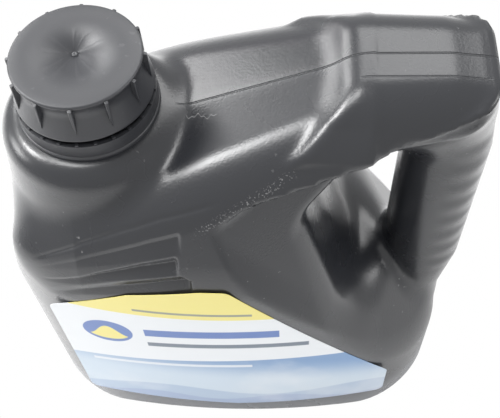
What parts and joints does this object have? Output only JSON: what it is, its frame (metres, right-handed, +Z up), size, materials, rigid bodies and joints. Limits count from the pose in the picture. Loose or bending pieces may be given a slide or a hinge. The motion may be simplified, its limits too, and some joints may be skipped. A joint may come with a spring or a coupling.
{
  "type": "oil jug",
  "caption": "Squat black plastic jug with an off-centre screw cap, a hollow loop handle and a printed label on its wall.",
  "frame": {"origin": "middle of the base, on the floor", "axes": "+Z up, -Y towards the front label, +X towards the handle"},
  "size_m": [0.2231, 0.126, 0.2371],
  "materials": {
    "jug_plastic": "semi-gloss",
    "cap_plastic": "semi-gloss",
    "liner_foam": "matt",
    "label_film": "printed film"
  },
  "bodies": {
    "jug": {"bottle": "jug_plastic", "tamper_band": "cap_plastic", "front_label": "label_film", "back_label": "label_film"},
    "liner": {"cap_liner": "liner_foam"},
    "cap": {"screw_cap": "cap_plastic"}
  },
  "joints": [
    {"name": "cap_rise", "type": "slide", "parent": "jug", "child": "liner", "axis": [0, 0, 1], "range_m": [0, 0.0245]},
    {"name": "cap_turn", "type": "hinge", "parent": "liner", "child": "cap", "pos_m": [-0.0542, 0, 0.23], "axis": [0, 0, 1], "range_deg": [0, 1080]}
  ],
  "couplings": [
    {"joint": "cap_rise", "follows": "cap_turn", "m_per_rad": 0.0012732}
  ]
}
